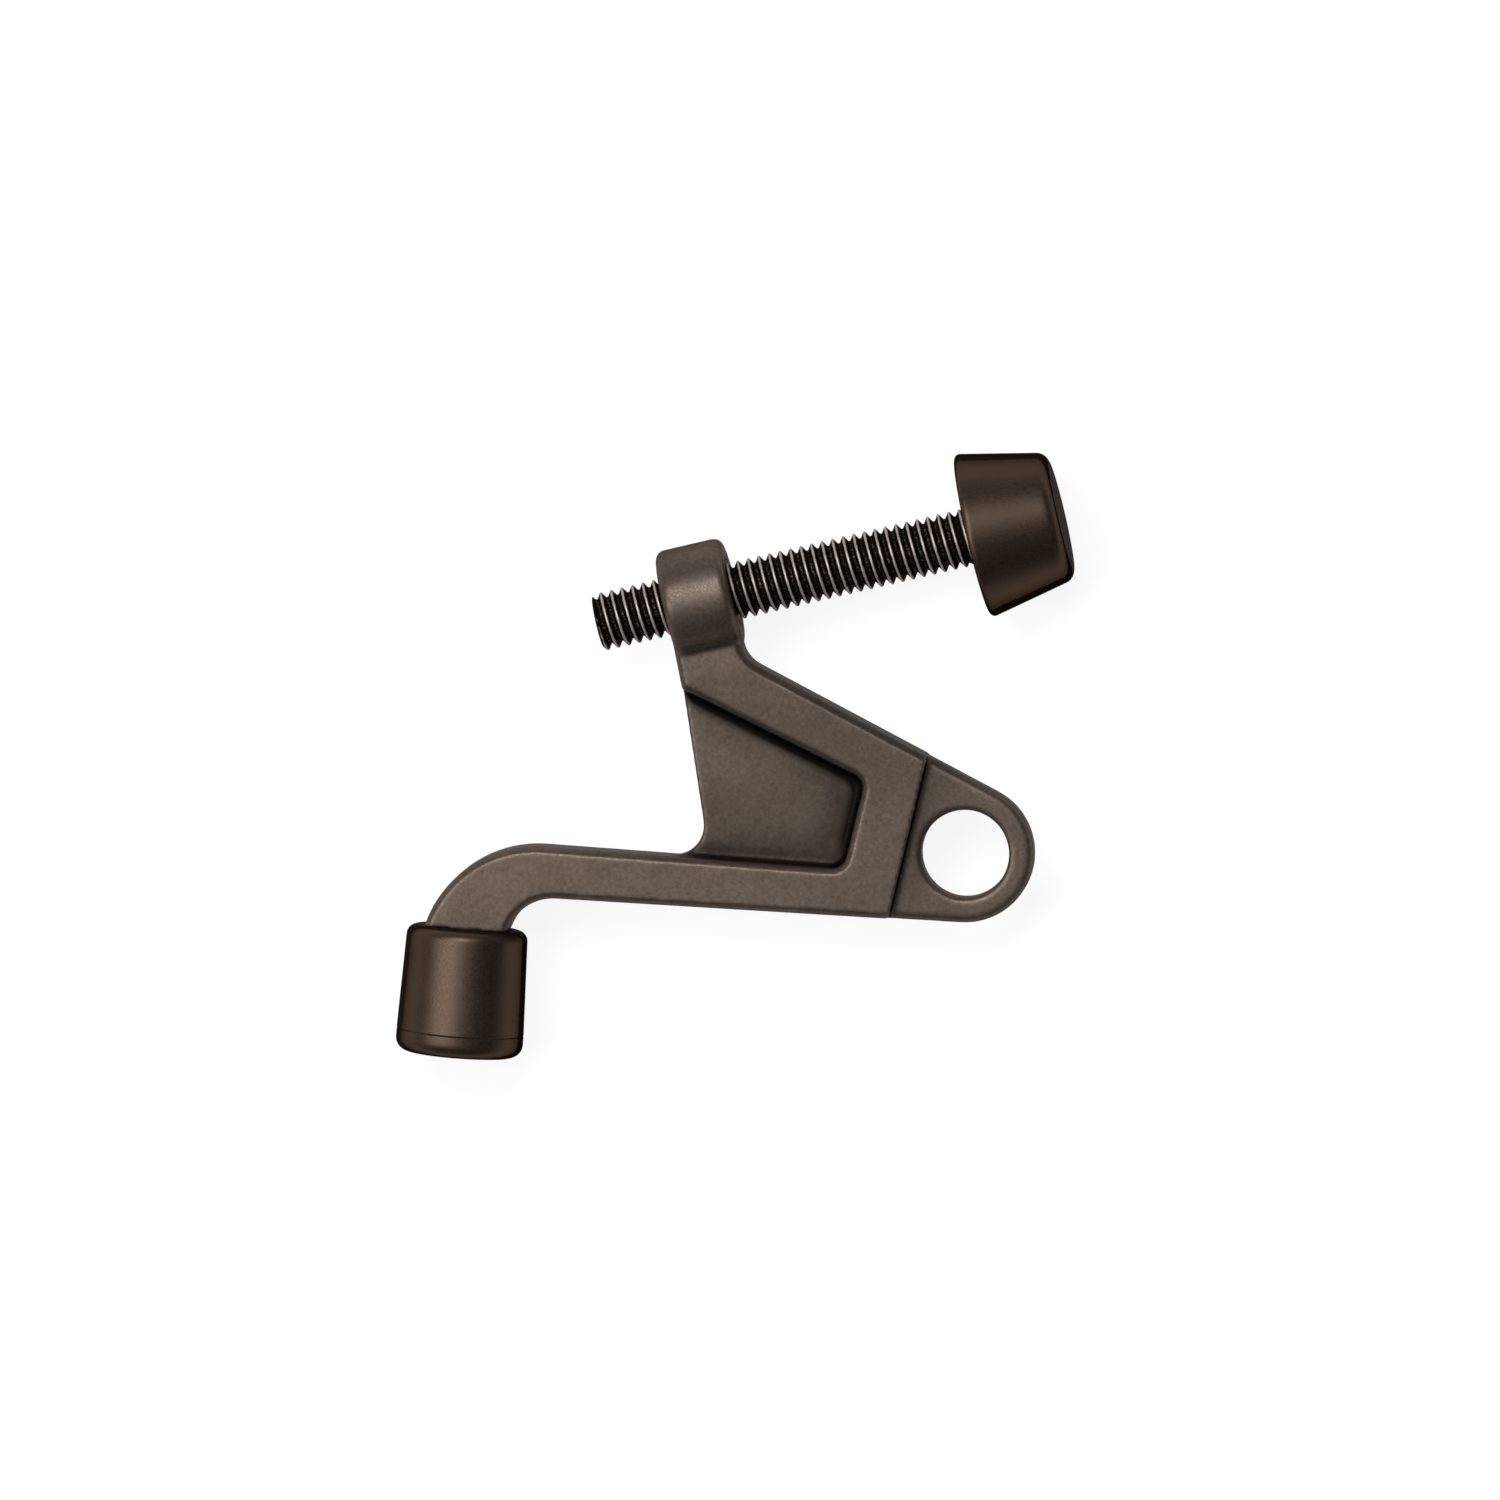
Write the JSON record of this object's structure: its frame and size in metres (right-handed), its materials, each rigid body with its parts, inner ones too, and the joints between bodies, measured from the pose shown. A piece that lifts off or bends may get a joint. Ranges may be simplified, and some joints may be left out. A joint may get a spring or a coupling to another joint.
{
  "type": "hinge pin door stop",
  "caption": "Cast door stop bracket with a bored eye that hangs on a hinge pin, a rubber-tipped foot and a long screw with a tapered rubber bumper.",
  "frame": {"origin": "centre of the hinge pin's bore, on the bracket's mid-plane", "axes": "+Z along the bore, which is vertical on a hung door; the bracket lies flat in X and Y; the foot reaches to -X and -Y, and the bumper screw points to +X, rising 13 degrees towards +Y"},
  "size_m": [0.0602, 0.054, 0.0148],
  "materials": {
    "dark_bronze": "oil-rubbed dark bronze, satin, faintly mottled by the casting",
    "screw_bronze": "dark bronze, brighter on the thread's crests",
    "bumper_rubber": "satin brown-black",
    "tip_rubber": "satin brown-black"
  },
  "bodies": {
    "bracket": {"casting": "dark_bronze", "foot_tip": "tip_rubber"},
    "bumper": {"screw_bumper": "bumper_rubber"},
    "screw": {"adjusting_screw": "screw_bronze"}
  },
  "joints": [
    {"name": "screw_travel", "type": "slide", "parent": "bracket", "child": "bumper", "axis": [0.9732, 0.23, 0], "range_m": [-0.0204, 0.006]},
    {"name": "screw_turn", "type": "hinge", "parent": "bumper", "child": "screw", "pos_m": [-0.00626, 0.02647, 0], "axis": [0.9732, 0.23, 0], "range_deg": [-7651, 2251]}
  ],
  "couplings": [
    {"joint": "screw_turn", "follows": "screw_travel", "rad_per_m": 6545}
  ]
}
